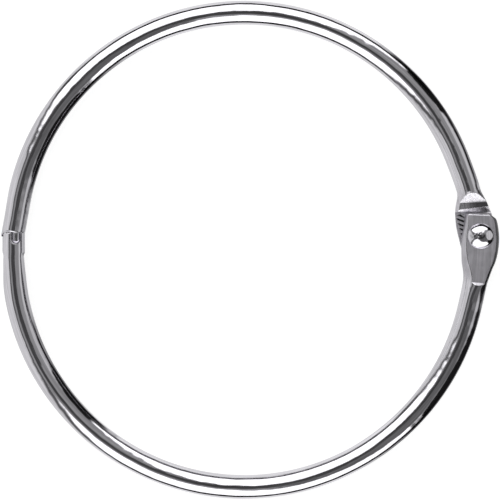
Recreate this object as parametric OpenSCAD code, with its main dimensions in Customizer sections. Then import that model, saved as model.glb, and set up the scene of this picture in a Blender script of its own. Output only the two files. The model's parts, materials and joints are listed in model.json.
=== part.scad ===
// Hinged loose-leaf binder ring: two half rings of round steel wire, lapped and riveted at one
// side and closed by a blade in a slot at the other. All sizes are in millimetres.
// The ring lies flat in XY, with the wire's middle at Z 0 and the origin at the ring's centre.

/* [Wire and ring] */
// Diameter of the wire that both halves are bent from
wire_d = 4; // [3.4:0.1:4.8]
// Inside width of the closed ring, from the closure to the lower half's far side
inside_w = 73.7; // [50:0.1:100]
// How much taller than wide the inside of the closed ring is
extra_h = 2; // [1:0.1:4]
// How much tighter the upper half is bent than the lower half, on the radius
upper_tightness = 0.4; // [0:0.05:0.8]

/* [Hinge lap] */
// Height of the rivet above the ring's centre
rivet_rise = 2.1; // [0:0.1:4]
// Greatest width of a flattened lap
lap_w = 6.35; // [5.8:0.05:7.2]
// Distance from the rivet at which a lap is widest, towards its bend
lap_peak = 0.5; // [0:0.1:1]
// Distance from the rivet at which the flattened sides run back into the round wire
flare_len = 7.4; // [6.8:0.1:8]
// Length of the cone that blends the flattened sides into the round wire
neck_len = 1.6; // [0.6:0.2:2]
// How deep the outer face of a lap is pressed below the wire's crown
face_press = 0.24; // [0.1:0.02:0.4]
// Distance from the rivet at which the pressed outer face ends
face_len = 7.85; // [7.5:0.05:9]
// Length of the little ramp that ends the pressed outer face
face_ramp = 0.35; // [0.2:0.05:0.8]
// Straight wire left between the pressed face and the bend
lap_spare = 0.15; // [0.1:0.05:1]
// Running gap between the two laps
lap_gap = 0.06; // [0.04:0.01:0.1]
// How far the upper half's lap sits inwards of the rivet
tongue_inset = 0.3; // [0:0.05:0.4]

/* [Lap ends and shoulders] */
// Distance from the rivet to the flat end of a lap
tip_len = 3.75; // [3.3:0.05:3.9]
// Radius that the lower half's lap end swings in
plate_tip_r = 4.05; // [3.6:0.05:4.1]
// Radius that rounds the upper half's lap end
tongue_tip_r = 3.7; // [3.3:0.05:3.7]
// Distance from the rivet to the foot of the shoulder on the mating side
foot_len = 4.3; // [4.3:0.05:4.6]
// Length of the steep ramp above the foot
foot_ramp = 0.8; // [0.4:0.1:1]
// Depth of the land between the two ramps, below the wire's crown
land_drop = 0.78; // [0.5:0.02:1]
// Length of the land
land_len = 0.8; // [0.4:0.1:1]
// Length of the long ramp from the land to the crown
crown_ramp = 1.4; // [0.8:0.1:1.8]
// Angle between the upper half's shoulder and square across its wire
shoulder_skew = 12; // [0:1:16]

/* [Rivet] */
// Diameter of the rivet's shank
rivet_d = 2.2; // [1.6:0.1:2.6]
// Diameter of the rivet's heads
head_d = 4.3; // [3.6:0.1:5]
// Height of the rivet's domed heads
head_h = 1.2; // [0.6:0.1:1.6]
// Radial clearance where the shank is peened fast in the upper half
fast_fit = 0.01; // [0.01:0.01:0.02]
// Radial and end clearance where the lower half turns on the rivet
turn_fit = 0.04; // [0.02:0.01:0.08]

/* [Closure] */
// Height of the closure seam above the ring's centre
seam_rise = 2.74; // [1.5:0.02:4]
// Gap between the two wire ends at the seam
seam_gap = 0.1; // [0.06:0.01:0.16]
// Length left straight at the upper half's closing end
upper_end_len = 5.5; // [4:0.1:8]
// How much thinner, on the radius, both closing ends are than the wire
end_thin = 0.03; // [0.01:0.01:0.1]
// How much thinner again, on the radius, the lower half's fork is
fork_thin = 0.09; // [0.03:0.01:0.2]
// Depth of the pinched groove below the fork
pinch_depth = 0.18; // [0.04:0.02:0.3]
// Length of each flank and of the bottom of the pinched groove
pinch_len = 0.35; // [0.2:0.05:0.6]
// Distance of the slot's middle inwards of the wire's middle
slot_shift = 0.5; // [0.2:0.05:0.6]
// Width of the slot
slot_w = 1.85; // [1.5:0.05:2]
// Depth of the slot at its round bottom
slot_depth = 2; // [1.6:0.1:3]
// Width of the lead-in chamfer at the slot's mouth
mouth_w = 0.32; // [0.1:0.02:0.4]
// Height of the lead-in chamfer at the slot's mouth
mouth_h = 0.3; // [0.1:0.02:0.5]
// Clearance between the blade and the slot's inner wall
blade_fit_in = 0.24; // [0.1:0.02:0.3]
// Clearance between the blade and the slot's outer wall
blade_fit_out = 0.42; // [0.1:0.02:0.45]
// Clearance between the blade's round tip and the slot's bottom
blade_tip_fit = 0.14; // [0.08:0.02:0.3]
// Thickness of the upper half's lip at its edge
lip_t = 0.28; // [0.2:0.02:0.4]
// Length of the lip past the seam
lip_len = 0.7; // [0.4:0.05:0.8]
// Radius of the lower half's shoulder that the lip wraps
lip_corner_r = 0.9; // [0.7:0.05:1.1]
// Length over which the lower half's shoulder tapers
taper_len = 2.1; // [1.6:0.1:3]

/* [Hidden] */
$fn = 96;

wire_r = wire_d / 2;
half_w = lap_w / 2;
face_z = wire_r - face_press;
land_z = wire_r - land_drop;
lap_face_z = lap_gap / 2;
over = 1; // how far a cutting shape reaches past what it cuts
reach = wire_d + lap_w; // wide or tall enough to cut right across a wire or a lap

// Bend radii and centres: the lower centre lies below the origin, the upper one above it.
lower_bend_r = inside_w / 2 + wire_r;
upper_bend_r = lower_bend_r - upper_tightness;
centre_rise = (extra_h + upper_tightness) / 2;
lower_centre = [0, -centre_rise];

// Seam: the lower half ends straight up; the upper half leans in to meet it.
seam_at = [-lower_bend_r, seam_rise];
seam_drop = seam_rise - centre_rise;
end_lean = asin(seam_drop / norm([upper_bend_r, upper_end_len])) + atan2(upper_end_len, upper_bend_r);
upper_centre = [
    seam_at.x + upper_bend_r * cos(end_lean) + upper_end_len * sin(end_lean),
    centre_rise
];

// Rivet: far enough out for both laps to stay straight along their pressed faces.
lap_len = face_len + face_ramp + lap_spare;
function straight_out(bend_r, rise) = sqrt(pow(bend_r, 2) + pow(lap_len, 2) - pow(rise, 2));
rivet_at = [
    max(
        straight_out(lower_bend_r, rivet_rise + centre_rise),
        straight_out(upper_bend_r, rivet_rise - centre_rise) + upper_centre.x + tongue_inset
    ),
    rivet_rise
];
tongue_at = rivet_at - [tongue_inset, 0];

// Angle at which the line from a point to a bend touches it, above or below the point.
function touch_turn(bend_r, from_centre) = acos(bend_r / norm(from_centre));
function bearing(v) = atan2(v.y, v.x);
lower_touch = bearing(rivet_at - lower_centre) - touch_turn(lower_bend_r, rivet_at - lower_centre);
upper_touch = bearing(tongue_at - upper_centre) + touch_turn(upper_bend_r, tongue_at - upper_centre);
function straight_len(bend_r, from_centre) = sqrt(pow(norm(from_centre), 2) - pow(bend_r, 2));
lower_lap_len = straight_len(lower_bend_r, rivet_at - lower_centre);
upper_lap_len = straight_len(upper_bend_r, tongue_at - upper_centre);

// Sides of a lap: one large arc, cut by a cone that runs into the round wire.
side_run = flare_len - lap_peak;
side_rise = half_w - wire_r;
side_r = (pow(side_run, 2) + pow(side_rise, 2)) / (2 * side_rise);
side_centre = [half_w - side_r, lap_peak];
neck_start_y = flare_len - neck_len / 2;
neck_start = [side_centre.x + sqrt(pow(side_r, 2) - pow(neck_start_y - lap_peak, 2)), neck_start_y];
neck_end = [wire_r, min(flare_len + neck_len / 2, lap_len - lap_spare)];

// Closure, measured from the seam's middle: X towards the ring's inside, Y up.
slot_r = slot_w / 2;
slot_out = slot_shift - slot_r;
slot_in = slot_shift + slot_r;
blade_out = slot_out + blade_fit_out;
blade_in = slot_in - blade_fit_in;
blade_r = (blade_in - blade_out) / 2;
blade_mid = (blade_in + blade_out) / 2;
blade_len = slot_depth - blade_tip_fit;
end_y = -seam_gap;
end_r = wire_r - end_thin;
fork_r = end_r - fork_thin;
pinch_r = fork_r - pinch_depth;
lip_corner_at = [lip_t + lip_corner_r - wire_r, end_y - lip_corner_r];
taper_top = lip_corner_at - [lip_corner_r, 0];
taper_foot = [-wire_r, -taper_len];
hollow_r = lip_corner_r + seam_gap;

// Round wire bent about the Z axis from one bearing to another, under half a turn on.
module bent_wire(bend_r, from, to) {
    span = bend_r + reach;
    intersection() {
        rotate_extrude() translate([bend_r, 0]) circle(d = wire_d);
        rotate([0, 0, from]) translate([-span, 0, -reach]) cube([2 * span, span, 2 * reach]);
        rotate([0, 0, to]) translate([-span, -span, -reach]) cube([2 * span, span, 2 * reach]);
    }
}

// Places its children where a bend ends: at the wire's middle, with +Y round the bend.
module at_bearing(bend_r, turn) {
    rotate([0, 0, turn])
        translate([bend_r, 0, 0])
            children();
}

// An outline drawn as Y and Z, extruded across X.
module across(width) {
    rotate([90, 0, 90])
        linear_extrude(height = width, center = true)
            children();
}

// An outline drawn as X and Y, extruded through the thickness of the ring.
module through() {
    linear_extrude(height = reach, center = true)
        children();
}

// Half the outline of a swollen wire end, from its middle out, with Y along the wire.
module swollen_profile(bend_at) {
    intersection() {
        translate(side_centre) circle(r = side_r);
        translate([0, -plate_tip_r]) square([half_w + over, plate_tip_r + flare_len + over]);
    }
    neck_back = neck_start + (neck_start - neck_end);
    polygon([[0, neck_back.y], neck_back, neck_end, [wire_r, bend_at], [0, bend_at]]);
}

// Plan of a lap: a flat end with round corners, and no limit towards the bend.
module lap_plan(tip_r) {
    intersection() {
        circle(r = tip_r);
        translate([-reach, -tip_len]) square([2 * reach, tip_len + tip_r]);
    }
    translate([-reach, 0]) square([2 * reach, lap_len + reach]);
}

// What is pressed away on the mating side: the flat, a steep ramp, a land and a long ramp.
module mating_cut() {
    land_end = foot_len + foot_ramp + land_len;
    across(4 * reach)
        polygon([
            [-reach, -lap_face_z],
            [foot_len, -lap_face_z],
            [foot_len + foot_ramp, land_z],
            [land_end, land_z],
            [land_end + 2 * crown_ramp, wire_r + land_drop],
            [land_end + 2 * crown_ramp, reach],
            [-reach, reach]
        ]);
}

// What is pressed away on the outer side, down to a flat face that ends in a short ramp.
module outer_cut() {
    across(2 * reach)
        polygon([
            [-reach, -face_z],
            [face_len, -face_z],
            [face_len + 2 * face_ramp, -wire_r - face_press],
            [face_len + 2 * face_ramp, -reach],
            [-reach, -reach]
        ]);
}

// A swollen wire end with its tip shaped, its rivet place at the origin and +Y towards the bend.
module lap_blank(bend_at, tip_r) {
    intersection() {
        rotate([-90, 0, 0])
            rotate_extrude()
                swollen_profile(bend_at);
        through() lap_plan(tip_r);
    }
}

// The upper half's blade, straight and round-ended.
module blade_plan() {
    translate([blade_mid, blade_r - blade_len]) circle(r = blade_r);
    translate([blade_out, blade_r - blade_len]) square([2 * blade_r, blade_len - blade_r + over]);
    polygon([
        [blade_out - mouth_w, over],
        [blade_out - mouth_w, 0],
        [blade_out, -mouth_h],
        [blade_mid, -mouth_h],
        [blade_mid, over]
    ]);
}

// What the upper half loses at its end: all below the seam but the lip and the blade.
module upper_end_cut_plan() {
    difference() {
        translate([-reach, -reach]) square([2 * reach, reach]);
        difference() {
            translate([-reach, -lip_len]) square([reach + lip_corner_at.x, lip_len + over]);
            translate(lip_corner_at) circle(r = hollow_r);
        }
        blade_plan();
    }
}

// What the lower half loses at its end: the slot, its mouth and the tapered shoulder.
module lower_end_cut_plan() {
    translate([slot_shift, slot_r - slot_depth]) circle(r = slot_r);
    translate([slot_out, slot_r - slot_depth]) square([slot_w, slot_depth]);
    polygon([
        [slot_out - mouth_w, end_y + over],
        [slot_out - mouth_w, end_y],
        [slot_out, end_y - mouth_h],
        [slot_shift, end_y - mouth_h],
        [slot_shift, end_y + over]
    ]);
    difference() {
        polygon([
            [-reach, over],
            [lip_corner_at.x, over],
            lip_corner_at,
            taper_top,
            2 * taper_foot - taper_top,
            [-reach, taper_foot.y]
        ]);
        translate(lip_corner_at) circle(r = lip_corner_r);
    }
}

// The lower half's straight end before its slot is cut: a pinched groove, then the thinner fork.
module forked_end(end_len) {
    rotate_extrude()
        polygon([
            [0, 0],
            [end_r, 0],
            [pinch_r, pinch_len],
            [pinch_r, 2 * pinch_len],
            [fork_r, 3 * pinch_len],
            [fork_r, end_len],
            [0, end_len]
        ]);
}

module upper_half() {
    color([0.74, 0.74, 0.76])
        difference() {
            translate(upper_centre) {
                bent_wire(upper_bend_r, upper_touch, 180 - end_lean);
                at_bearing(upper_bend_r, upper_touch)
                    translate([0, -upper_lap_len, 0])
                        lap_blank(upper_lap_len, tongue_tip_r);
                at_bearing(upper_bend_r, 180 - end_lean)
                    rotate([-90, 0, 0])
                        cylinder(r = end_r, h = upper_end_len + slot_depth + over);
            }
            translate(tongue_at) rotate([0, 0, upper_touch]) outer_cut();
            translate(rivet_at) rotate([0, 0, upper_touch - shoulder_skew]) mating_cut();
            translate(rivet_at) cylinder(d = rivet_d + 2 * fast_fit, h = reach, center = true);
            translate(seam_at) through() upper_end_cut_plan();
        }
}

module lower_half() {
    color([0.68, 0.68, 0.70])
        difference() {
            translate(lower_centre) {
                bent_wire(lower_bend_r, 180, 360 + lower_touch);
                at_bearing(lower_bend_r, 360 + lower_touch)
                    translate([0, lower_lap_len, 0])
                        rotate([180, 0, 0])
                            lap_blank(lower_lap_len, plate_tip_r);
                at_bearing(lower_bend_r, 180)
                    rotate([90, 0, 0])
                        forked_end(seam_rise + centre_rise + end_y);
            }
            translate(rivet_at) rotate([180, 0, lower_touch]) outer_cut();
            translate(rivet_at) rotate([180, 0, lower_touch]) mating_cut();
            translate(rivet_at) cylinder(d = rivet_d + 2 * turn_fit, h = reach, center = true);
            translate(seam_at) through() lower_end_cut_plan();
        }
}

// One domed head with its flat side at Z 0.
module domed_head() {
    dome_r = (pow(head_d / 2, 2) + pow(head_h, 2)) / (2 * head_h);
    intersection() {
        translate([0, 0, head_h - dome_r]) sphere(r = dome_r);
        cylinder(d = head_d, h = head_h + over);
    }
}

module hinge_rivet() {
    color([0.80, 0.80, 0.82])
        translate(rivet_at) {
            translate([0, 0, -face_z]) cylinder(d = rivet_d, h = 2 * face_z + turn_fit);
            translate([0, 0, face_z + turn_fit]) domed_head();
            translate([0, 0, -face_z]) rotate([180, 0, 0]) domed_head();
        }
}

upper_half();
lower_half();
hinge_rivet();
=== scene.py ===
# %% [markdown]
# A hinged binder ring, dressed for a close look
# The ring is two halves of plated steel wire. At one side both wires are pressed flat, lapped
# and joined by a rivet. At the other side a blade on one end springs into a slot in the other.
# The fixed model from the CAD step gives every place and size. Each visible piece is modelled
# again here with a finer mesh, because polished metal shows every flat spot of a coarse one.

import json
from functools import lru_cache
from math import acos, asin, atan2, copysign, cos, degrees, hypot, pi, radians, sin, sqrt, tan

import bmesh
import bpy
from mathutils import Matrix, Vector, noise


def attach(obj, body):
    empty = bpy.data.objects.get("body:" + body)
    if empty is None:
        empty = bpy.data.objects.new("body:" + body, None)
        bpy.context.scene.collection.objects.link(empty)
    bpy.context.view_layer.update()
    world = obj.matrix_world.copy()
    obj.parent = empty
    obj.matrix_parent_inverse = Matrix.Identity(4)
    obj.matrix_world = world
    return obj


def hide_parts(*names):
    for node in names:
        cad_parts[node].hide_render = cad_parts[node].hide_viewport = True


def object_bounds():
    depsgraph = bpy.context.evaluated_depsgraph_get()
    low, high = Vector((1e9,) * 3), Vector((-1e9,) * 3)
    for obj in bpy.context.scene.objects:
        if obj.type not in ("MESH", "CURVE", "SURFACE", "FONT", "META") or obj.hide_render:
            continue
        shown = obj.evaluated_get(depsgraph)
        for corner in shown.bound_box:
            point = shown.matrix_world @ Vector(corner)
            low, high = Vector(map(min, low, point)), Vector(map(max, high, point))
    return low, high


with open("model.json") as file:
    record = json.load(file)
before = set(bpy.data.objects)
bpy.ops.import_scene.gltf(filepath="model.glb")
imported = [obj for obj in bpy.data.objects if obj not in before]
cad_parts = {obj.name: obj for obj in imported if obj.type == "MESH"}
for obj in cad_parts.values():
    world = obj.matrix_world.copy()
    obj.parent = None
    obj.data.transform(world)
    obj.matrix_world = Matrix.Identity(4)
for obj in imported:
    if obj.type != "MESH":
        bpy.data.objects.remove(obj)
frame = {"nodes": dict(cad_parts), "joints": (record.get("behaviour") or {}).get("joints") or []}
cad_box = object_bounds()
hinge = frame["joints"][0]

# %% [markdown]
# Sizes
# All lengths here are millimetres, as in the part's source, and each mesh is scaled to metres
# at the very end. The names and values are those of the part, so both describe one object.
# The rivet's place is read from the joint, which keeps the pieces on the hinge's own axis.

# %% Sizes of the ring
MM = 0.001
WIRE_R = 2.0
INSIDE_W = 73.7
EXTRA_H = 2.0
UPPER_TIGHTNESS = 0.4
LAP_GAP = 0.06
FACE_Z = 1.76
LAND_Z = 1.22
TONGUE_INSET = 0.3
SEAM_RISE = 2.74
UPPER_END_LEN = 5.5
RIVET_R = 1.1
FAST_FIT = 0.01
TURN_FIT = 0.04

LOWER_BEND_R = INSIDE_W / 2 + WIRE_R
UPPER_BEND_R = LOWER_BEND_R - UPPER_TIGHTNESS
CENTRE_RISE = (EXTRA_H + UPPER_TIGHTNESS) / 2
RIVET_AT = Vector(hinge["pos_m"]) / MM
TONGUE_AT = RIVET_AT - Vector((TONGUE_INSET, 0, 0))
LOWER_CENTRE = Vector((0, -CENTRE_RISE, 0))
SEAM_AT = Vector((-LOWER_BEND_R, SEAM_RISE, 0))

seam_drop = SEAM_RISE - CENTRE_RISE
end_lean = asin(seam_drop / hypot(UPPER_BEND_R, UPPER_END_LEN)) + atan2(UPPER_END_LEN, UPPER_BEND_R)
UPPER_CENTRE = Vector((
    SEAM_AT.x + UPPER_BEND_R * cos(end_lean) + UPPER_END_LEN * sin(end_lean),
    CENTRE_RISE,
    0,
))
print("rivet at", tuple(round(c, 3) for c in RIVET_AT))
print("closing end leans", round(degrees(end_lean), 2), "degrees")

# %% [markdown]
# A wire that is shaped while it is straight
# The maker flattens and cuts the ends of a straight wire and bends it last. The same order is
# the easiest one in a mesh: a sheet is rolled into a tube, each ring of points is pressed
# into its section, and then every point is carried round the bend. `BentWire.place` does that
# last step. It takes a distance along the wire from the rivet, one outwards and one upwards.

# %% The path of a bent wire
class BentWire:
    """Says where a point of the straight wire lands once the wire is bent."""

    def __init__(self, centre, bend_r, lap_from, turn, end_bearing):
        self.centre = centre
        self.bend_r = bend_r
        self.turn = turn
        reach = lap_from - centre
        self.lap_len = sqrt(reach.length ** 2 - bend_r ** 2)
        self.touch = atan2(reach.y, reach.x) + turn * acos(bend_r / reach.length)
        self.arc_len = abs(end_bearing - self.touch) * bend_r
        self.bend_end = self.lap_len + self.arc_len

    def place(self, along, out, up):
        """Where a point goes, from its distance along, outwards and upwards."""
        bent = min(max(along - self.lap_len, 0), self.arc_len)
        straight = along - self.lap_len - bent
        bearing = self.touch + self.turn * bent / self.bend_r
        outwards = Vector((cos(bearing), sin(bearing), 0))
        onwards = Vector((-sin(bearing), cos(bearing), 0)) * self.turn
        spot = self.centre + outwards * (self.bend_r + out) + onwards * straight
        return spot + Vector((0, 0, up))


lower_path = BentWire(LOWER_CENTRE, LOWER_BEND_R, RIVET_AT, -1, -pi)
upper_path = BentWire(UPPER_CENTRE, UPPER_BEND_R, TONGUE_AT, 1, pi - end_lean)
print("lower lap", round(lower_path.lap_len, 3), "upper lap", round(upper_path.lap_len, 3))
print("lower arc", round(lower_path.arc_len, 2), "upper arc", round(upper_path.arc_len, 2))

# %% [markdown]
# Soft curves through a few sizes
# The flattened ends swell smoothly, so their widths are given at a few distances and joined by
# a curve whose slope never jumps. A jump in slope would show as a kink in a mirror finish.

# %% A smooth curve through rows of sizes
def slope_at(rows, i, column):
    """Slope of the curve at row i: the mean slope of its two neighbours' chord."""
    before, after = rows[max(i - 1, 0)], rows[min(i + 1, len(rows) - 1)]
    return (after[column] - before[column]) / (after[0] - before[0])


def follow(rows, along, column=1):
    """The value of a column of the rows at a distance, on a smooth curve."""
    if along <= rows[0][0]:
        return rows[0][column]
    if along >= rows[-1][0]:
        return rows[-1][column]
    i = max(n for n, row in enumerate(rows[:-1]) if row[0] <= along)
    low, high = rows[i], rows[i + 1]
    span = high[0] - low[0]
    t = (along - low[0]) / span
    start, end = slope_at(rows, i, column) * span, slope_at(rows, i + 1, column) * span
    return (
        low[column] * (1 + 2 * t) * (1 - t) ** 2
        + start * t * (1 - t) ** 2
        + high[column] * t * t * (3 - 2 * t)
        + end * t * t * (t - 1)
    )


def ramp(along, marks):
    """Height of a pressed surface, straight from mark to mark."""
    if along <= marks[0][0]:
        return marks[0][1]
    for (start, low), (end, high) in zip(marks, marks[1:]):
        if along <= end:
            return low + (high - low) * (along - start) / (end - start)
    return marks[-1][1]


def ease(value, low, high):
    """0 below low, 1 above high, and smooth between them."""
    t = min(max((value - low) / (high - low), 0), 1)
    return t * t * (3 - 2 * t)


def fade(value, low, high):
    """1 below low, 0 above high, and smooth between them."""
    return 1 - ease(value, low, high)


# %% [markdown]
# The section of the wire at one distance
# Pressing a round wire between flat tools leaves two flats with round flanks between them.
# Each ring keeps four of its points for the four corners of that section, so the long edges of
# the flats run along edges of the mesh. Where the wire is round the same points lie on a circle.

# %% Press one point of a ring
CORNER = radians(54)
CORNER_BAND = radians(1)


def climb_of(angle):
    """How far a point stands above or below the middle of its circle, as an angle."""
    return asin(min(max(sin(angle), -1), 1))


def pressed(angle, swell, low, high):
    """(share of the half width, height before the press) of a point from its angle on a circle."""
    side = 1 if cos(angle) >= 0 else -1
    climb = climb_of(angle)
    top = min(asin(min(high / swell, 1)), CORNER)
    bottom = max(asin(max(low / swell, -1)), -CORNER)
    if climb > CORNER:
        turned = top + (climb - CORNER) / (pi / 2 - CORNER) * (pi / 2 - top)
    elif climb < -CORNER:
        turned = bottom + (climb + CORNER) / (pi / 2 - CORNER) * (pi / 2 + bottom)
    else:
        turned = bottom + (climb + CORNER) / (2 * CORNER) * (top - bottom)
    return side * cos(turned), swell * sin(turned)


CREASE_R = 0.15
CREASE_WORK, FLANK_WORK = 0.25, 0.9
# shade painted into the colour of the plate's inner flank and of a strip along its outer edge
INNER_PAINTED_SHADE, OUTER_PAINTED_SHADE = 0.16, 0.9


def round_off(depth, radius):
    """How far a point moves inwards to round an edge, from its depth beyond that edge."""
    left = radius - min(max(depth, 0), radius)
    return radius - sqrt(radius ** 2 - left ** 2)


def finish_of(climb, along, depth, on_flat):
    """How worked the metal is: a pressed flat fully, its bright crease little, its flank partly."""
    if abs(climb - CORNER) < CORNER_BAND or (not on_flat and depth < CREASE_R):
        return CREASE_WORK * fade(along, 5.5, 8.5)
    return 1.0 if on_flat else FLANK_WORK * fade(along, 6.0, 9.0)


def painted_edge_shade(angle, climb, along):
    """How much shade is painted on the plate's edges: a little on the inner flank, much on a strip
    along the outer edge.
    """
    if cos(angle) < 0:
        return INNER_PAINTED_SHADE * float(climb < CORNER - CORNER_BAND) * fade(along, 6.0, 8.5)
    rolled = fade(climb, CORNER + radians(2), CORNER + radians(5))
    return OUTER_PAINTED_SHADE * rolled * fade(along, 6.5, 8.0)


# %% [markdown]
# Sizes of the lower half's flattened end
# Each row is a distance from the rivet along the wire, then the half width on the inner and on
# the outer side. The press squeezed more metal outwards, and it clipped the outer corner of the
# tip. The lean carries the upper face outwards of the lower one. The marks are heights of the
# pressed faces: the outer face, whose tip is rounded over, and the mating face with its steep
# ramp, its land and its long ramp.

# %% The lower half's lap
LOWER_TIP = -3.72
LOWER_SIDES = [
    (-3.72, 2.62, 1.12),
    (-3.69, 2.76, 1.24),
    (-3.62, 2.88, 1.40),
    (-3.48, 2.96, 1.64),
    (-3.20, 2.99, 2.06),
    (-3.06, 2.99, 2.25),
    (-2.70, 2.98, 2.50),
    (-2.10, 2.97, 2.74),
    (-1.30, 2.98, 2.99),
    (-0.43, 3.00, 3.19),
    (0.60, 3.00, 3.32),
    (1.75, 2.93, 3.36),
    (2.60, 2.83, 3.33),
    (3.64, 2.68, 3.20),
    (4.38, 2.55, 3.03),
    (5.04, 2.38, 2.82),
    (5.70, 2.18, 2.65),
    (6.50, 1.98, 2.47),
    (7.14, 1.89, 2.34),
    (7.70, 1.85, 2.25),
    (8.60, 1.87, 2.16),
    (9.60, 1.93, 2.09),
    (11.0, 1.98, 2.03),
    (13.0, 2.00, 2.00),
]
LOWER_LEAN = [
    (-4.0, 0.08),
    (0.0, 0.10),
    (2.5, 0.16),
    (4.3, 0.28),
    (5.8, 0.42),
    (7.0, 0.46),
    (8.0, 0.38),
    (9.5, 0.10),
    (11.0, 0.0),
]
LOWER_HIGH = [
    (-3.72, 1.48),
    (-3.66, 1.64),
    (-3.56, 1.73),
    (-3.44, FACE_Z),
    (7.85, FACE_Z),
    (8.2, 2.0),
    (8.7, 2.4),
]
LOWER_LOW = [(4.3, LAP_GAP / 2), (5.1, -LAND_Z), (5.9, -LAND_Z), (7.3, -2.0), (8.0, -2.4)]

# %% [markdown]
# Sizes of the upper half's flattened end
# This lap lies under the other one, so its mating face looks up. Its shoulder is a step up from
# that face, a short slope, a land and a long ramp that ends on the round wire. The tool stood
# askew, so each line of the shoulder has its own skew across the wire, in degrees, and the
# whole shoulder tilts down outwards by a tilt that is given at a few distances too.

# %% The upper half's lap
UPPER_TIP = -3.75
UPPER_SIDES = [
    (-3.75, 1.00, 1.00),
    (-3.72, 1.42, 1.42),
    (-3.60, 1.95, 1.95),
    (-3.40, 2.33, 2.33),
    (-3.10, 2.66, 2.66),
    (-2.60, 2.96, 2.94),
    (-2.00, 3.12, 3.08),
    (-1.20, 3.22, 3.16),
    (0.00, 3.25, 3.19),
    (2.20, 3.23, 3.19),
    (3.30, 3.09, 3.10),
    (4.35, 2.89, 2.94),
    (5.10, 2.69, 2.80),
    (5.80, 2.46, 2.64),
    (6.85, 2.02, 2.34),
    (7.40, 1.84, 2.25),
    (7.90, 1.74, 2.22),
    (8.60, 1.76, 2.20),
    (9.44, 1.82, 2.15),
    (11.0, 1.93, 2.06),
    (13.0, 2.00, 2.00),
]
FOOT_AT, LAND_AT, RAMP_AT, RAMP_END = 4.1, 4.82, 5.76, 7.1
STEP_AT = FOOT_AT + 0.07
SKEWS = [
    (2.4, 0),
    (3.8, 14.5),
    (FOOT_AT, 14.5),
    (LAND_AT, 6.5),
    (RAMP_AT, 11),
    (RAMP_END, 11),
    (9.2, 0),
]
TILTS = [(FOOT_AT, 0), (STEP_AT, 0.29), (LAND_AT, 0.2), (RAMP_END, 0.2), (RAMP_END + 0.9, 0)]
UPPER_HIGH = [
    (FOOT_AT, -LAP_GAP / 2),
    (STEP_AT, 0.59),
    (LAND_AT, 1.02),
    (RAMP_AT, 1.08),
    (RAMP_END, 1.88),
    (RAMP_END + 0.3, 2.06),
    (RAMP_END + 0.7, 2.4),
]
UPPER_LOW = [(7.85, -FACE_Z), (8.2, -2.0), (8.7, -2.4)]

# %% [markdown]
# Sizes of the closing ends
# Here the distances are back from the cut end, followed by the half width and by how far the
# wire is pushed inwards. The forked end was pinched when its slot was pressed, which left it a
# little slimmer, and slimmest just below the fork.

# %% The closing ends
SEAM_FIT = 0.015
LOWER_END_LEN = SEAM_RISE + CENTRE_RISE - SEAM_FIT
LOWER_CLOSING = [
    (0.0, 1.885, 0.10),
    (2.4, 1.89, 0.10),
    (3.0, 1.90, 0.105),
    (3.35, 1.87, 0.11),
    (3.7, 1.77, 0.105),
    (4.0, 1.715, 0.095),
    (4.35, 1.745, 0.10),
    (4.9, 1.785, 0.11),
    (5.9, 1.82, 0.12),
    (6.9, 1.885, 0.11),
    (7.9, 1.94, 0.08),
    (9.2, 1.98, 0.03),
    (11.0, 2.0, 0.0),
]
UPPER_CLOSING = [
    (0.0, 1.95, 0.05),
    (1.8, 1.95, 0.05),
    (3.5, 1.96, 0.03),
    (7.0, 1.99, 0.0),
    (10.0, 2.0, 0.0),
]

# %% [markdown]
# Rings along the wire
# A ring stands at each break in the pressed faces, which keeps those edges straight and sharp.
# The laps need rings a twentieth of a millimetre apart, and the bend one each half millimetre.
# The rims of the cut ends are rounded, so a few rings crowd together there as well.

# %% Distances of the rings
WIRE_SIDES = 120
LAP_REACH = 9.2
LAP_STEP, BEND_STEP = 0.05, 0.5
TIP_STEPS = (0, 0.02, 0.05, 0.09, 0.14, 0.2, 0.27, 0.35, 0.44)


def ring_distances(tip, marks, path, end_steps, over):
    """Distances of all rings, from the tip of the lap to the closing end."""
    found = [tip + step for step in TIP_STEPS]
    while found[-1] < LAP_REACH - 0.2:
        found.append(found[-1] + LAP_STEP)
    for mark in marks:
        found = [d for d in found if abs(d - mark) > LAP_STEP / 2] + [mark]
    end = path.bend_end + over
    fine_from = end - end_steps[0]
    bend_len = fine_from - LAP_REACH
    count = int(bend_len / BEND_STEP)
    found += [LAP_REACH + bend_len * i / count for i in range(count + 1)]
    found += [end - step for step in end_steps[1:]]
    return sorted(found)


RIM_R = 0.26
RIM_STEPS = [0.02, 0.05, 0.09, 0.13, 0.18, 0.24]
LOWER_STEPS = [11 - 0.4 * step for step in range(16)]
LOWER_STEPS += [4.8 - 0.1 * step for step in range(19)]
LOWER_STEPS += [2.7 - 0.3 * step for step in range(10)]
LOWER_STEPS += RIM_STEPS
UPPER_REACH = 2.6
UPPER_STEPS = [11 - 0.4 * step for step in range(28)]
UPPER_STEPS += [UPPER_REACH + step for step in RIM_STEPS]
LOWER_MARKS = [mark for mark, _ in LOWER_LOW[:4] + LOWER_HIGH[4:6]]
UPPER_MARKS = [mark for mark, _ in UPPER_HIGH + UPPER_LOW[:2]]
lower_rings = ring_distances(LOWER_TIP, LOWER_MARKS, lower_path, LOWER_STEPS, LOWER_END_LEN)
upper_rings = ring_distances(
    UPPER_TIP, UPPER_MARKS, upper_path, UPPER_STEPS, UPPER_END_LEN + UPPER_REACH
)
print("rings:", len(lower_rings), "and", len(upper_rings))


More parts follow.
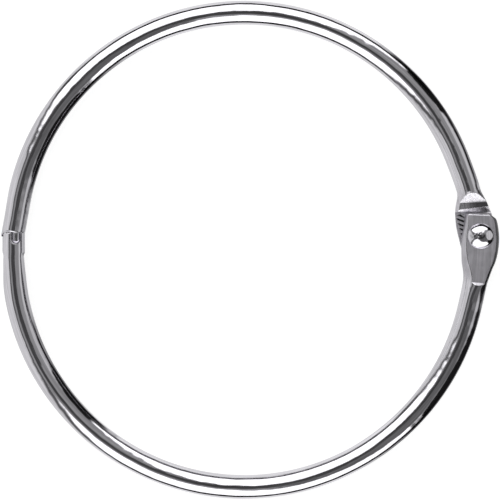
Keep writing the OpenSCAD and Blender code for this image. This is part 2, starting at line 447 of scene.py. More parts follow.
# %% Roll a sheet into the straight wire
def straight_wire(distances):
    """A closed tube along X of unit radius, with a ring of points at each distance."""
    bm = bmesh.new()
    last = len(distances) - 1
    bmesh.ops.create_grid(bm, x_segments=last, y_segments=WIRE_SIDES, size=1)
    for v in bm.verts:
        ring = round((v.co.x + 1) / 2 * last)
        angle = pi * v.co.y
        v.co = (distances[ring], cos(angle), sin(angle))
    bmesh.ops.remove_doubles(bm, verts=bm.verts, dist=1e-5)
    bmesh.ops.holes_fill(bm, edges=[e for e in bm.edges if e.is_boundary], sides=0)
    return bm


# %% [markdown]
# Form the halves
# The flats are pressed by moving each point to its place in the section. The steepest creases
# are then softened by a few passes of vertex smoothing, as a press never leaves a razor edge.
# Float layers on the points remember what was done to the metal and where shade is painted,
# and the material reads them: `worked` where it was pressed and is duller, `sheared` where a
# tool tore the shoulder and left it rough, `painted_shade` where shade is painted on the plate's
# edges and the shoulder's land, and `rippled` where the tool slipped and left a row of dents on
# the face of the lap.

# %% Press, soften and bend
TIP_SLANT = 0.088
TIP_EDGE, TIP_WORK = 0.12, 0.2
MEAN_HALF_W = 2.4
CORNER_SHARE = 0.8
SLIM_FROM, SLIM_TO = 1.1, 2.05
CREASE_ANGLE = radians(22)
SOFTEN_PASSES = 3


def soften(bm, sharpest, passes):
    """Rounds the lap's creases sharper than an angle by smoothing the points on them."""
    bm.normal_update()
    creased = set()
    for edge in bm.edges:
        if len(edge.link_faces) == 2 and edge.calc_face_angle() > sharpest:
            creased.update(edge.verts)
    creased = [v for v in creased if v.co.x < LAP_REACH]
    for _ in range(passes):
        bmesh.ops.smooth_vert(
            bm, verts=creased, factor=0.5, use_axis_x=True, use_axis_y=True, use_axis_z=True
        )
    return len(creased)


def swell_of(rows, along):
    """Radius of the circle that is pressed at a distance, which is never below the wire's own."""
    full = max(along, 0)
    return max((follow(rows, full, 1) + follow(rows, full, 2)) / 2, WIRE_R)


def closing_sizes(rows, back):
    """How slim the section is, how far it is pushed inwards, and how far its rim is rounded."""
    slim, shift = follow(rows, back, 1) / WIRE_R, follow(rows, back, 2)
    return slim, shift, 1 - round_off(back, RIM_R) / WIRE_R


@lru_cache(maxsize=None)
def lower_sizes(along):
    """All sizes of the lower half's section at a distance."""
    inner, outer = follow(LOWER_SIDES, along, 1), follow(LOWER_SIDES, along, 2)
    swell, lean = swell_of(LOWER_SIDES, along), follow(LOWER_LEAN, along)
    back = lower_path.bend_end + LOWER_END_LEN - along
    return inner, outer, swell, lean, *closing_sizes(LOWER_CLOSING, back)


@lru_cache(maxsize=None)
def upper_sizes(along):
    """All sizes of the upper half's section at a distance."""
    skew = tan(radians(ramp(along, SKEWS)))
    inner = follow(UPPER_SIDES, along + MEAN_HALF_W * skew, 1)
    outer = follow(UPPER_SIDES, along - MEAN_HALF_W * skew, 2)
    back = upper_path.bend_end + UPPER_END_LEN - along
    return inner, outer, swell_of(UPPER_SIDES, along), skew, *closing_sizes(UPPER_CLOSING, back)


def slimmed(out, slim):
    """A sideways distance in the slimmed section, which only loses width at its sides."""
    return out * (1 - (1 - slim) * ease(abs(out), SLIM_FROM, SLIM_TO))


def form_lower(bm):
    """Presses the lower half's lap and slims its closing end."""
    worked = bm.verts.layers.float.new("worked")
    painted_shade = bm.verts.layers.float.new("painted_shade")
    for v in bm.verts:
        along, angle = v.co.x, atan2(v.co.z, v.co.y)
        inner, outer, swell, lean, slim, shift, rim = lower_sizes(along)
        low, high = ramp(along, LOWER_LOW), ramp(along, LOWER_HIGH)
        share, up = pressed(angle, swell, low, high)
        climb, on_flat = climb_of(angle), not low < up < high
        up = min(max(up, low), high)
        depth = min(high - up, up - low)
        v[worked] = finish_of(abs(climb), along, depth, on_flat)
        if along <= LOWER_TIP + TIP_EDGE:
            v[worked] = TIP_WORK
        # painted shade on the plate's edges
        v[painted_shade] = painted_edge_shade(angle, climb, along)
        out = (outer - inner) / 2 + share * (outer + inner) / 2 + lean * (max(up, 0) / FACE_Z) ** 2
        if abs(climb) < CORNER + CORNER_BAND:
            out -= copysign(round_off(depth, CREASE_R), cos(angle)) * fade(along, 6.0, 8.0)
        out = slimmed(out, slim) - shift
        along -= TIP_SLANT * out * fade(along, -3.2, -0.5)
        v.co = (along, out, up * rim)


def land_shade(along, out):
    """How much shade is painted on the land of the shoulder, which is darkest on its outer side."""
    landed = ease(along, LAND_AT - 0.05, LAND_AT + 0.05)
    landed *= fade(along, RAMP_AT - 0.1, RAMP_AT + 0.5)
    return landed * (0.25 + 0.65 * ease(out, -1.2, 1.2))


def form_upper(bm):
    """Presses the upper half's lap, skews its shoulder and slims its closing end."""
    worked = bm.verts.layers.float.new("worked")
    sheared = bm.verts.layers.float.new("sheared")
    painted_shade = bm.verts.layers.float.new("painted_shade")
    for v in bm.verts:
        along, angle = v.co.x, atan2(v.co.z, v.co.y)
        inner, outer, swell, skew, slim, shift, rim = upper_sizes(along)
        low, high = ramp(along, UPPER_LOW), ramp(along, UPPER_HIGH)
        tilt = ramp(along, TILTS)
        corner_out = CORNER_SHARE * (outer if cos(angle) > 0 else -inner)
        share, up = pressed(angle, swell, low, high - tilt * corner_out)
        out = (outer - inner) / 2 + share * (outer + inner) / 2
        top = high - tilt * out
        climb, on_flat = climb_of(angle), not low < up < top
        v[sheared] = float(up >= top and along > FOOT_AT + 0.02)
        up = min(max(up, low), top)
        depth = min(top - up, up - low)
        v[worked] = finish_of(abs(climb), along, depth, on_flat) - 0.6 * v[sheared]
        # painted shade on the shoulder's land, darkest on its outer side
        v[painted_shade] = v[sheared] * land_shade(along, out)
        if abs(climb) < CORNER + CORNER_BAND:
            out -= copysign(round_off(depth, CREASE_R), cos(angle)) * fade(along, 3.0, 4.0)
        out = slimmed(out, slim) - shift
        v.co = (along - skew * out, out, up * rim)


def mark_ripples(bm):
    """Marks where the press tool rippled the tongue, which the other lap doesn't cover."""
    rippled = bm.verts.layers.float.new("rippled")
    for v in bm.verts:
        along, out, up = v.co
        if abs(up + LAP_GAP / 2) < 0.3 and out < 0:
            across = ease(-out, 1.3, 1.6) * fade(-out, 2.65, 2.9)
            v[rippled] = across * ease(along, -1.2, 0.2) * fade(along, 4.2, 4.5)


def bend(bm, path):
    """Carries each point of the straight wire to its place on the bent one."""
    for v in bm.verts:
        v.co = path.place(*v.co)


def into_object(bm, name):
    """An object at the origin, in metres, from a bmesh in millimetres, which is used up."""
    bmesh.ops.scale(bm, vec=(MM, MM, MM), verts=bm.verts)
    bmesh.ops.recalc_face_normals(bm, faces=bm.faces)
    mesh = bpy.data.meshes.new(name)
    bm.to_mesh(mesh)
    bm.free()
    piece = bpy.data.objects.new(name, mesh)
    bpy.context.scene.collection.objects.link(piece)
    return piece


def make_half(name, distances, steps, path):
    """One half of the ring: a straight wire that is pressed, softened, marked and bent."""
    bm = straight_wire(distances)
    bmesh.ops.recalc_face_normals(bm, faces=bm.faces)
    steps[0](bm)
    count = soften(bm, CREASE_ANGLE, SOFTEN_PASSES)
    for step in steps[1:]:
        step(bm)
    bend(bm, path)
    print(name, "has", len(bm.verts), "points,", count, "of them softened")
    return into_object(bm, name)


lower = make_half("lower_wire", lower_rings, [form_lower], lower_path)
upper = make_half("upper_wire", upper_rings, [form_upper, mark_ripples], upper_path)

# %% [markdown]
# Cut the closing ends and the rivet's hole
# The slot, the blade and the lip are all straight cuts through the wire, so each is made as a
# cookie cutter: a flat outline, extruded to a prism and taken away by a Boolean. The round
# corners of an outline come from bevelling the prism's upright edges. The blade is a bar with
# rounded edges that is added instead. The two ends nearly touch in the core of the wire and
# leave a wider gap above and below it, so the seam reads as a dark line and shows no floor.

# %% Cutters for the closure
SLOT_OUT, SLOT_IN, SLOT_DEPTH, SLOT_R = -0.425, 1.425, 2.0, 0.9
BLADE_OUT, BLADE_IN, BLADE_LEN = -0.005, 1.185, 1.86
BLADE_Z, BLADE_R, BLADE_ROOT = 1.5, 0.45, 0.8
ROUND_FIT = 0.02
END_Y = -0.1
LIP_T, LIP_LEN, LIP_R = 0.28, 0.7, 0.9
TRIM_LEN, TRIM_LEAN = 3.0, 0.09
WEB_Z, WEB_FIT, WEB_R, WEB_ROOT = 0.5, 0.06, 0.85, 0.5
# painted shade for the web in the slot, so the slot reads dark
WEB_PAINTED_SHADE = 0.8
CORE_Z = 1.2
TALL = 8.0


def bevel(bm, edges, width, segments, clamp):
    """Rounds edges; a clamped bevel gets narrower rather than run into its neighbours."""
    bmesh.ops.bevel(
        bm, geom=edges, offset=width, offset_type="OFFSET", segments=segments, profile=0.5,
        affect="EDGES", material=-1, clamp_overlap=clamp,
    )


def is_upright(edge):
    """Whether an edge runs up and down."""
    return abs(edge.verts[0].co.z - edge.verts[1].co.z) > 1e-3


def prism(corners, bottom=-TALL / 2, top=TALL / 2):
    """A prism from (x, y, corner radius) corners about the seam, between two heights."""
    bm = bmesh.new()
    verts = [bm.verts.new((x, y, bottom)) for x, y, _ in corners]
    base = bm.faces.new(verts)
    raised = bmesh.ops.extrude_face_region(bm, geom=[base], use_keep_orig=True)["geom"]
    lifted = [g for g in raised if isinstance(g, bmesh.types.BMVert)]
    bmesh.ops.translate(bm, verts=lifted, vec=(0, 0, top - bottom))
    for v, (_, _, corner_r) in zip(verts, corners):
        if corner_r:
            upright = [e for e in v.link_edges if is_upright(e)]
            bevel(bm, upright, corner_r, segments=12, clamp=False)
    bmesh.ops.recalc_face_normals(bm, faces=bm.faces)
    bmesh.ops.translate(bm, verts=bm.verts, vec=SEAM_AT)
    return bm


def blade_bar():
    """The springy blade: a bar with a round tip and round long edges, from inside the wire."""
    tip_r = (BLADE_IN - BLADE_OUT) / 2 - ROUND_FIT
    bm = prism([
        (BLADE_OUT, BLADE_ROOT, 0),
        (BLADE_OUT, -BLADE_LEN, tip_r),
        (BLADE_IN, -BLADE_LEN, tip_r),
        (BLADE_IN, BLADE_ROOT, 0),
    ], -BLADE_Z, BLADE_Z)
    bevel(bm, [e for e in bm.edges if not is_upright(e)], BLADE_R, segments=8, clamp=True)
    return bm


fork_cutter = prism([
    (SLOT_OUT, 1, 0),
    (SLOT_OUT, -SLOT_DEPTH, SLOT_R),
    (SLOT_IN, -SLOT_DEPTH, SLOT_R),
    (SLOT_IN, 1, 0),
])


def shoulder_cutter(gap, corner_r, bottom, top):
    """Trims the forked end and its shoulder so that they clear the other half by a gap."""
    shoulder_at = LIP_T - WIRE_R + END_Y + gap
    return prism([
        (-TALL, 1, 0),
        (TALL, 1, 0),
        (TALL, -gap, 0),
        (shoulder_at, -gap, corner_r),
        (shoulder_at - TRIM_LEAN, -TRIM_LEN, 0),
        (-TALL, -TRIM_LEN - 0.2, 0),
    ], bottom, top)


shoulder_cutters = [
    shoulder_cutter(SEAM_FIT, LIP_LEN, -TALL / 2, TALL / 2),
    shoulder_cutter(-END_Y, LIP_R, CORE_Z, TALL / 2),
    shoulder_cutter(-END_Y, LIP_R, -TALL / 2, -CORE_Z),
]
end_cutter = prism([
    (TALL, 0, 0),
    (LIP_T - WIRE_R + END_Y, 0, LIP_LEN - ROUND_FIT),
    (LIP_T - WIRE_R + END_Y, -LIP_LEN, 0),
    (-TALL, -LIP_LEN, 0),
    (-TALL, -TALL, 0),
    (TALL, -TALL, 0),
])
web = prism([
    (SLOT_OUT + WEB_FIT, WEB_ROOT, 0),
    (SLOT_OUT + WEB_FIT, WEB_FIT - SLOT_DEPTH, WEB_R),
    (SLOT_IN - WEB_FIT, WEB_FIT - SLOT_DEPTH, WEB_R),
    (SLOT_IN - WEB_FIT, WEB_ROOT, 0),
], -WEB_Z, WEB_Z)


def hole_cutter(radius):
    """A round cutter on the rivet's axis."""
    bm = bmesh.new()
    bmesh.ops.create_cone(bm, cap_ends=True, segments=64, radius1=radius, radius2=radius, depth=TALL)
    bmesh.ops.translate(bm, verts=bm.verts, vec=RIVET_AT)
    return bm


def darken(bm, shade):
    """Paints shade into the colour of all of a bmesh."""
    painted_shade = bm.verts.layers.float.new("painted_shade")
    for v in bm.verts:
        v[painted_shade] = shade


def combine(piece, tools, operation):
    """Takes tools away from a piece, or adds them to it, with an exact Boolean, for good."""
    for bm in tools:
        tool = into_object(bm, "tool")
        mod = piece.modifiers.new("combine", "BOOLEAN")
        mod.operation, mod.solver, mod.object = operation, "EXACT", tool
        depsgraph = bpy.context.evaluated_depsgraph_get()
        shaped = bpy.data.meshes.new_from_object(piece.evaluated_get(depsgraph))
        piece.modifiers.clear()
        piece.data = shaped
        bpy.data.objects.remove(tool)
    print(piece.name, operation.lower(), "gives", len(piece.data.polygons), "faces")


combine(lower, [fork_cutter, *shoulder_cutters, hole_cutter(RIVET_R + TURN_FIT)], "DIFFERENCE")
combine(upper, [end_cutter, hole_cutter(RIVET_R + FAST_FIT)], "DIFFERENCE")
# the web in the slot gets painted shade before it is added
darken(web, WEB_PAINTED_SHADE)
combine(upper, [web, blade_bar()], "UNION")

# %% [markdown]
# Break the cut edges
# Plated metal never has a knife edge: the plating itself rounds it, and the bright line along
# an edge is what the eye reads as metal. A bevel a tenth of a millimetre wide, or a little more,
# does that on the closure's edges. Only edges near the seam get it, as the laps are already soft.

# %% Bevel the closure and set the shading
CLOSURE_REACH = 5.0
SHARP_ANGLE = radians(35)
HARD_ANGLE = radians(38)
LOWER_BEVEL, UPPER_BEVEL = 0.10, 0.16


def break_edges(piece, width):
    """Bevels the closure's sharp edges and smooths the piece, apart from its other hard edges."""
    bm = bmesh.new()
    bm.from_mesh(piece.data)
    bmesh.ops.remove_doubles(bm, verts=bm.verts, dist=2e-7)
    bmesh.ops.dissolve_degenerate(bm, edges=bm.edges, dist=1e-7)
    bm.normal_update()
    sharp = [
        e for e in bm.edges
        if len(e.link_faces) == 2
        and e.calc_face_angle() > SHARP_ANGLE
        and (e.verts[0].co / MM - SEAM_AT).length < CLOSURE_REACH
    ]
    bevel(bm, sharp, width * MM, segments=2, clamp=True)
    for face in bm.faces:
        face.smooth = True
    for edge in bm.edges:
        if len(edge.link_faces) == 2 and edge.calc_face_angle() > HARD_ANGLE:
            edge.smooth = False
    bm.to_mesh(piece.data)
    bm.free()
    print(piece.name, "edges broken:", len(sharp))


break_edges(lower, LOWER_BEVEL)
break_edges(upper, UPPER_BEVEL)
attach(lower, "lower")
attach(upper, "upper")
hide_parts("lower_half")
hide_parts("upper_half")

# %% [markdown]
# The rivet
# A rivet is a shank with a domed head at each end. The upper head was closed with a hammer, so
# it is a little lumpy and has one flat spot on its right; a mottled band of painted shade lies
# across it. A few points of its outline are spun round the axis, and the dome's points are then
# nudged by a smooth noise.

# %% Spin the rivet
HEAD_R = 2.15
HEAD_H = 1.2
SHANK_TOP = 1.8
HEAD_RIM = 0.12
EDGE_IN, EDGE_UP = 0.08, 0.06
DOME_STEPS, SPIN_STEPS = 24, 128
DOME_POWER = 2.1
PEENED_H, PEENED_POWER = 1.08, 2.7
OVAL_X, OVAL_Y = 1.02, 0.965


def head_outline(from_z, way, height, power):
    """Points of a dome's outline, from its flat side to its crown."""
    points = [(RIVET_R, from_z), (HEAD_R - EDGE_IN, from_z), (HEAD_R, from_z + way * EDGE_UP)]
    for step in range(DOME_STEPS + 1):
        reach = 1 - step / DOME_STEPS
        rise = height - (height - HEAD_RIM) * reach ** power
        points.append((HEAD_R * reach, from_z + way * rise))
    return points


def flat_spot(x, y):
    """Height of the flat that one hammer blow left on the head's right side."""
    return SHANK_TOP + 0.63 - 0.62 * (x - 1.45) - 0.05 * y


def hammer(v, painted_shade):
    """Dents and flattens the upper dome at one of its points, makes it oval, and paints a mottled
    band of shade across it.
    """
    x, y, z = v.co
    spread = ease(z, SHANK_TOP + 0.1, SHANK_TOP + 0.7)
    hammered = fade(hypot((x + 0.45) / 1.55, y), 0.3, 0.85)
    band = fade(hypot((x + 0.45) / 1.6, y / 0.8), 0.5, 1)
    dents = noise.noise(Vector((x, y * 1.5, 3)) * 2.2)
    # painted shade: a mottled band across the head, mottled by a noise
    v[painted_shade] = band * (0.35 + 0.5 * ease(dents, -0.3, 0.3))
    bump = noise.noise(Vector((x, y, 1.7)) * 0.9) * 0.05
    bump += noise.noise(Vector((x, y, 5.1)) * 2.6) * (0.006 + 0.03 * hammered)
    v.co = (x * OVAL_X, y * OVAL_Y, min(z + bump * spread, flat_spot(x, y)))


def spin_rivet():
    """The rivet: its outline spun round the axis, with a hammered upper head."""
    bm = bmesh.new()
    lower_head = head_outline(-FACE_Z, -1, HEAD_H, DOME_POWER)
    upper_head = head_outline(SHANK_TOP, 1, PEENED_H, PEENED_POWER)
    outline = lower_head[::-1] + upper_head
    verts = [bm.verts.new((x, 0, z)) for x, z in outline]
    edges = [bm.edges.new(pair) for pair in zip(verts, verts[1:])]
    bmesh.ops.spin(
        bm, geom=verts + edges, cent=(0, 0, 0), axis=(0, 0, 1), angle=2 * pi, steps=SPIN_STEPS,
        use_merge=True, use_duplicate=False,
    )
    bmesh.ops.remove_doubles(bm, verts=bm.verts, dist=1e-4)
    painted_shade = bm.verts.layers.float.new("painted_shade")
    for v in bm.verts:
        if v.co.z > SHANK_TOP + 0.1:
            hammer(v, painted_shade)
    bmesh.ops.translate(bm, verts=bm.verts, vec=RIVET_AT)
    for face in bm.faces:
        face.smooth = True
    return into_object(bm, "peened_rivet")


rivet = spin_rivet()
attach(rivet, "upper")
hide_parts("hinge_rivet")
print("rivet faces:", len(rivet.data.polygons))

# %% [markdown]
# Shader sums as plain Python
# A shader is a graph of small sums. Writing each Math node by hand hides the sum, so one small
# class wraps a socket and lets `a * b + c` add those nodes. Every other node comes from `node`,
# and the few that are used often have a short method of their own.

# %% Wrap the sockets of a shader
class Value:
    """An output socket on which sums can be written."""

    def __init__(self, shader, socket):
        self.shader = shader
        self.socket = socket

    def sum(self, operation, first, second):
        """Adds the Math node of one sum."""
        return self.shader.node("ShaderNodeMath", {"operation": operation}, {0: first, 1: second})

    def __add__(self, other):
        return self.sum("ADD", self, other)

    def __radd__(self, other):
        return self.sum("ADD", other, self)

    def __sub__(self, other):
        return self.sum("SUBTRACT", self, other)

    def __rsub__(self, other):
        return self.sum("SUBTRACT", other, self)

    def __mul__(self, other):
        return self.sum("MULTIPLY", self, other)

    def __rmul__(self, other):
        return self.sum("MULTIPLY", other, self)

    def __truediv__(self, other):
        return self.sum("DIVIDE", self, other)

    def __pow__(self, other):
        return self.sum("POWER", self, other)


class Shader:
    """The node tree of a material or of the world, emptied and ready to write."""

    def __init__(self, owner):
        owner.use_nodes = True
        self.tree = owner.node_tree
        self.tree.nodes.clear()

    def node(self, kind, settings=None, inputs=None, output=0):
        """Adds a node with its settings and inputs, and gives one of its outputs."""
        made = self.tree.nodes.new(kind)
        for name, value in (settings or {}).items():
            setattr(made, name, value)
        for name, value in (inputs or {}).items():
            if isinstance(value, Value):
                self.tree.links.new(value.socket, made.inputs[name])
            else:
                made.inputs[name].default_value = value
        return Value(self, made.outputs[output]) if made.outputs else made

    def ease(self, value, low, high):
        """0 below low, 1 above high, and smooth between them."""
        return self.node(
            "ShaderNodeMapRange", {"interpolation_type": "SMOOTHSTEP"}, {0: value, 1: low, 2: high}
        )

    def angle(self, cosine):
        """The angle of a cosine, in degrees."""
        return self.node("ShaderNodeMath", {"operation": "ARCCOSINE"}, {0: cosine}) * degrees(1)

    def axes(self, vector):
        """The x, y and z of a vector."""
        outputs = self.node("ShaderNodeSeparateXYZ", inputs={0: vector}).socket.node.outputs
        return [Value(self, socket) for socket in outputs]

    def noise(self, spot, scale, detail, roughness=0.5):
        """A cloudy pattern from 0 to 1."""
        return self.node("ShaderNodeTexNoise", inputs={
            "Vector": spot, "Scale": scale, "Detail": detail, "Roughness": roughness,
        })

    def layer(self, name):
        """What a layer of the mesh says at this point."""
        return self.node("ShaderNodeAttribute", {"attribute_name": name}, output=2)

    def mix(self, share, first, second, blend="MIX"):
        """Two colours blended by a share."""
        return self.node(
            "ShaderNodeMix", {"data_type": "RGBA", "blend_type": blend},
            {0: share, 6: first, 7: second}, output=2,
        )


# %% [markdown]
# The plating
# Nickel plating on drawn wire is a mirror with flaws: draw marks that run along the wire, a
# slight waviness, and a haze that differs from place to place. The draw marks are a noise that
# is stretched along the ring, so its coordinates are the distance from the ring's centre, the
# height, and only a little of the place itself. Pressed metal is duller, with a fine grain of
# its own, and torn metal has a coarser one. The dents of the lap are a row of slanting waves,
# a sine of the place, which the haze bends a little out of line. They are too fine for the
# mesh, so they are a bump and a painted shade that darkens them nearly to black, masked by the
# `rippled` layer. The `painted_shade` layer darkens the colour with painted shade as well.

# %% Marks in the plating
RIPPLE_PITCH = 0.68
RIPPLE_LEAN = radians(25)


def draw_marks(shader, x, y, z):
    """Fine streaks that run along the wire."""
    reach = (x * x + y * y) ** 0.5
    across = shader.node("ShaderNodeCombineXYZ", inputs={0: reach, 1: z, 2: x * 0.045 + y * 0.03})
    return shader.noise(across, 2.6, 6.0, 0.7)


def press_dents(shader, x, y, haze, grain):
    """The row of slanting dents on the lap, 0 between them and 1 in them."""
    phase = (x * sin(RIPPLE_LEAN) + y * cos(RIPPLE_LEAN)) * (2 * pi / RIPPLE_PITCH) + haze * 4
    ripple = shader.node("ShaderNodeMath", {"operation": "SINE"}, {0: phase}) * 0.5 + 0.5
    return shader.layer("rippled") * shader.ease(ripple + 0.3 * grain, 0.55, 0.85)


# %% Plated metal
BRIGHT = (0.85, 0.836, 0.88, 1)
DULL = (0.72, 0.703, 0.75, 1)
LONG_WAVE = 35
WORKED_BUMP, SHEARED_BUMP, DENT_DEPTH = 0.002 * MM, 0.04 * MM, 0.08 * MM


def plated(name, polish, dullness, streak_bump, wave_bump):
    """A mirror finish with draw marks; worked and sheared metal is duller and grained."""
    material = bpy.data.materials.new(name)
    shader = Shader(material)
    place = shader.node("ShaderNodeTexCoord", output=3)
    spot = shader.node("ShaderNodeVectorMath", {"operation": "SCALE"}, {0: place, 3: 1 / MM})
    x, y, z = shader.axes(spot)
    streaks = draw_marks(shader, x, y, z)
    waves = shader.noise(spot, 0.09, 3.0)
    haze = shader.noise(spot, 0.5, 3.0)
    grain = shader.noise(spot, 3.2, 5.0, 0.7)
    worked, sheared, painted_shade = [shader.layer(mark) for mark in ("worked", "sheared", "painted_shade")]
    groove = press_dents(shader, x, y, haze, grain)

    level = 0.79 + 0.20 * shader.ease(streaks, 0.38, 0.62) + 0.12 * haze
    level = level + worked * (0.10 * grain - 0.05) + 0.1 * sheared
    # painted shade: the lap's dents nearly black, and the painted_shade layer on the plate's edges,
    # the shoulder's land, the slot's web and the rivet's head
    level = level * (1 - 0.95 * groove) * (1 - 0.85 * painted_shade) * (1 - sheared * (0.6 * grain - 0.2))
    shade = shader.node("ShaderNodeCombineColor", inputs={0: level, 1: level, 2: level})
    colour = shader.mix(1.0, shader.mix(worked, BRIGHT, DULL), shade, "MULTIPLY")

    rough = polish + 0.05 * haze + worked * (dullness + 0.10 * grain) + 0.06 * sheared
    height = streaks * streak_bump + waves * (wave_bump * LONG_WAVE) + haze * wave_bump
    height = height + worked * grain * WORKED_BUMP + sheared * grain * SHEARED_BUMP
    height = height - groove * DENT_DEPTH
    bump = shader.node("ShaderNodeBump", inputs={"Height": height, "Distance": 1.0, "Strength": 1.0})
    surface = shader.node("ShaderNodeBsdfPrincipled", inputs={
        "Base Color": colour, "Metallic": 1.0, "Roughness": rough, "Normal": bump,
    })
    shader.node("ShaderNodeOutputMaterial", inputs={"Surface": surface})
    return material


wire_plating = plated(
    "wire_plating", polish=0.05, dullness=0.26, streak_bump=0.005 * MM, wave_bump=0.01 * MM
)
rivet_plating = plated(
    "rivet_plating", polish=0.06, dullness=0.2, streak_bump=0.001 * MM, wave_bump=0.004 * MM
)
for piece, material, slot in (
    (lower, wire_plating, "wire_plating"),
    (upper, wire_plating, "wire_plating"),
    (rivet, rivet_plating, "rivet_plating"),
):
    piece.data.materials.clear()
    piece.data.materials.append(material)
# the fixed model's hidden nodes take the same metals, for anyone who shows one to compare it
for node in frame["nodes"].values():
    node.data.materials.clear()
    node.data.materials.append(rivet_plating if node.name == "hinge_rivet" else wire_plating)
print("materials:", [m.name for m in bpy.data.materials if m.users])

# %% [markdown]
# The studio
# Polished metal has hardly any look of its own: it shows the room. The room here is the world
# shader: two large softboxes, a pale sheet on the left and a smaller one on the right, dark gaps
# between them, a dark line where each softbox meets the table, and the pale table itself below.
# The table is painted in the world because the mirrored one should have its dark edges, so the
# floor object hides from glossy rays and the camera alone sees plain white for the world.

# %% The room that the metal mirrors
def lit(shade):
    """The light that the camera shows as this shade, from 0, black, to 1, white."""
    return shade ** 2.2


CEILING = lit(0.27)
SKY = lit(0.56)
TABLE = lit(0.92)
BLACK = lit(0.12)
CEILING_TILT, TABLE_TILT = 17, 92


class Room:
    """The light that comes from each direction, painted from the back to the front."""

    def __init__(self, world):
        self.shader = Shader(world)
        toward = self.shader.node("ShaderNodeTexCoord", output=0)
        x, y, z = self.shader.axes(toward)
        flat = (x * x + y * y) ** 0.5 + 1e-6
        self.ahead, self.aside = x / flat, y / flat
        self.tilt = self.shader.angle(z)
        self.level = CEILING + self.past(self.tilt, CEILING_TILT, 4) * (SKY - CEILING)
        self.level = self.level + self.past(self.tilt, TABLE_TILT, 3) * (TABLE - self.level)

    def past(self, value, line, soft):
        """0 before a line and 1 past it, with a soft edge."""
        return self.shader.ease(value, line - soft, line + soft)

    def away(self, azimuth):
        """Degrees between this direction's heading and an azimuth."""
        facing = self.ahead * cos(radians(azimuth)) + self.aside * sin(radians(azimuth))
        return self.shader.angle(facing * 0.99999)

    def hang(self, light, azimuth, half, top, bottom, soft=3, arch=0, arch_at=None, lean=0):
        """Adds a panel; its top arches over arch_at and its sides lean outwards below 60 degrees."""
        mask = 1 - self.past(self.away(azimuth) - (self.tilt - 60) * lean, half, soft)
        if arch:
            top = top + (self.away(arch_at or azimuth) / half) ** 2 * arch
        mask = mask * self.past(self.tilt - top, 0, soft) * (1 - self.past(self.tilt, bottom, soft))
        self.level = self.level + mask * (light - self.level)

    def finish(self):
        """Lights the world with the room, and shows the camera plain white."""
        camera_ray = self.shader.node("ShaderNodeLightPath", output=0)
        strength = self.level + camera_ray * (1 - self.level)
        light = self.shader.node(
            "ShaderNodeBackground", inputs={"Color": (1, 1, 1, 1), "Strength": strength}
        )
        self.shader.node("ShaderNodeOutputWorld", inputs={"Surface": light})


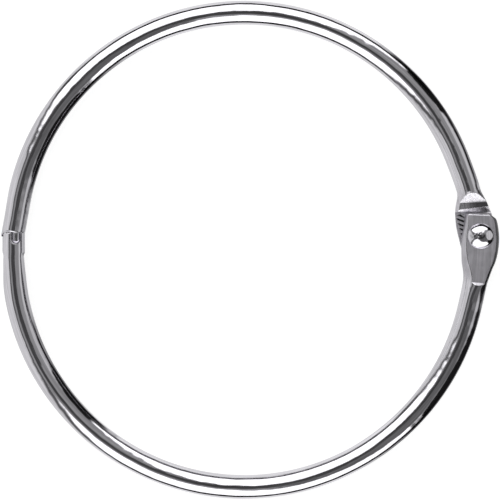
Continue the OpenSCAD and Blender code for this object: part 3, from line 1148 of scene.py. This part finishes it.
def build_room(world):
    """Hangs the panels, from the back to the front."""
    room = Room(world)
    # the right side: a pale sheet over a dark gap, with a grey table in front
    room.hang(lit(0.78), azimuth=8, half=27, top=54, bottom=84, soft=4)
    room.hang(lit(0.58), azimuth=352, half=50, top=108, bottom=190, soft=9)
    room.hang(BLACK, azimuth=352, half=48, top=90, bottom=118, soft=5)
    room.hang(BLACK, azimuth=2, half=15, top=77, bottom=106, soft=4)
    room.hang(lit(0.74), azimuth=2, half=15, top=103, bottom=190, soft=4)
    room.hang(lit(0.38), azimuth=315, half=32, top=14, bottom=52, soft=6)
    room.hang(BLACK, azimuth=41, half=12, top=53, bottom=134, soft=5, arch=36)
    room.hang(BLACK, azimuth=329, half=18, top=55, bottom=138, soft=6, arch=34)
    # the dark line between the table and each softbox
    room.hang(lit(0.03), azimuth=92, half=52, top=78, bottom=100, soft=2)
    room.hang(lit(0.04), azimuth=268, half=54, top=90, bottom=115, soft=2.5)
    # the two softboxes, and the dusk that cuts off their upper corners
    room.hang(1.5, azimuth=100, half=52, top=13, bottom=79, soft=2.5, arch=20, arch_at=108)
    room.hang(1.5, azimuth=260, half=55, top=28, bottom=91, soft=2.5, arch=19, arch_at=243)
    room.hang(SKY, azimuth=50, half=2, top=8, bottom=62, soft=3, lean=-0.45)
    room.hang(lit(0.40), azimuth=316, half=2, top=8, bottom=66, soft=3, lean=-0.45)
    # the left side: a pale sheet that comes down to the table, with dark gaps beside it
    room.hang(lit(0.34), azimuth=185, half=38, top=32, bottom=112, soft=4, lean=0.3)
    room.hang(lit(0.84), azimuth=183, half=28, top=44, bottom=190, soft=4, lean=0.3)
    room.finish()


world = bpy.data.worlds.new("room")
bpy.context.scene.world = world
build_room(world)

# %% [markdown]
# The floor
# The ring lies on a white sheet. To the camera the sheet glows just enough to read as white,
# while its diffuse part still takes the ring's soft shadow. Glossy rays pass it by and find
# the table in the world shader.

# %% White floor
FLOOR_HALF_W = 600
FLOOR_DROP = 0.01
PAPER = (0.42, 0.42, 0.42, 1)
GLOW = 0.80


def white_floor():
    """A big sheet just under the ring, which isn't part of the object."""
    bm = bmesh.new()
    bmesh.ops.create_grid(bm, x_segments=1, y_segments=1, size=FLOOR_HALF_W)
    floor_z = cad_box[0][2] / MM - FLOOR_DROP
    bmesh.ops.translate(bm, verts=bm.verts, vec=(0, 0, floor_z))
    floor = into_object(bm, "floor")
    material = bpy.data.materials.new("white_sheet")
    shader = Shader(material)
    camera_ray = shader.node("ShaderNodeLightPath", output=0)
    paper = shader.node("ShaderNodeBsdfDiffuse", inputs={"Color": PAPER})
    glow = shader.node("ShaderNodeEmission", inputs={"Strength": camera_ray * GLOW})
    both = shader.node("ShaderNodeAddShader", inputs={0: paper, 1: glow})
    shader.node("ShaderNodeOutputMaterial", inputs={"Surface": both})
    floor.data.materials.append(material)
    floor.visible_glossy = False
    return floor


floor = white_floor()

# %% [markdown]
# The camera
# It looks straight down from about arm's length, so the view is almost free of perspective.

# %% Camera and colour
VIEW_WIDTH = 84.03
CAMERA_HEIGHT = 450.0
SENSOR_W = 36.0
AIM = (0.975, -0.235)

camera = bpy.data.objects.new("camera", bpy.data.cameras.new("camera"))
bpy.context.scene.collection.objects.link(camera)
camera.location = Vector((AIM[0], AIM[1], CAMERA_HEIGHT)) * MM
camera.data.sensor_width = SENSOR_W
camera.data.lens = SENSOR_W * CAMERA_HEIGHT / VIEW_WIDTH
camera.data.clip_start = 0.01
bpy.context.scene.camera = camera
bpy.context.scene.view_settings.view_transform = "Standard"
print("lens", round(camera.data.lens, 1), "mm")
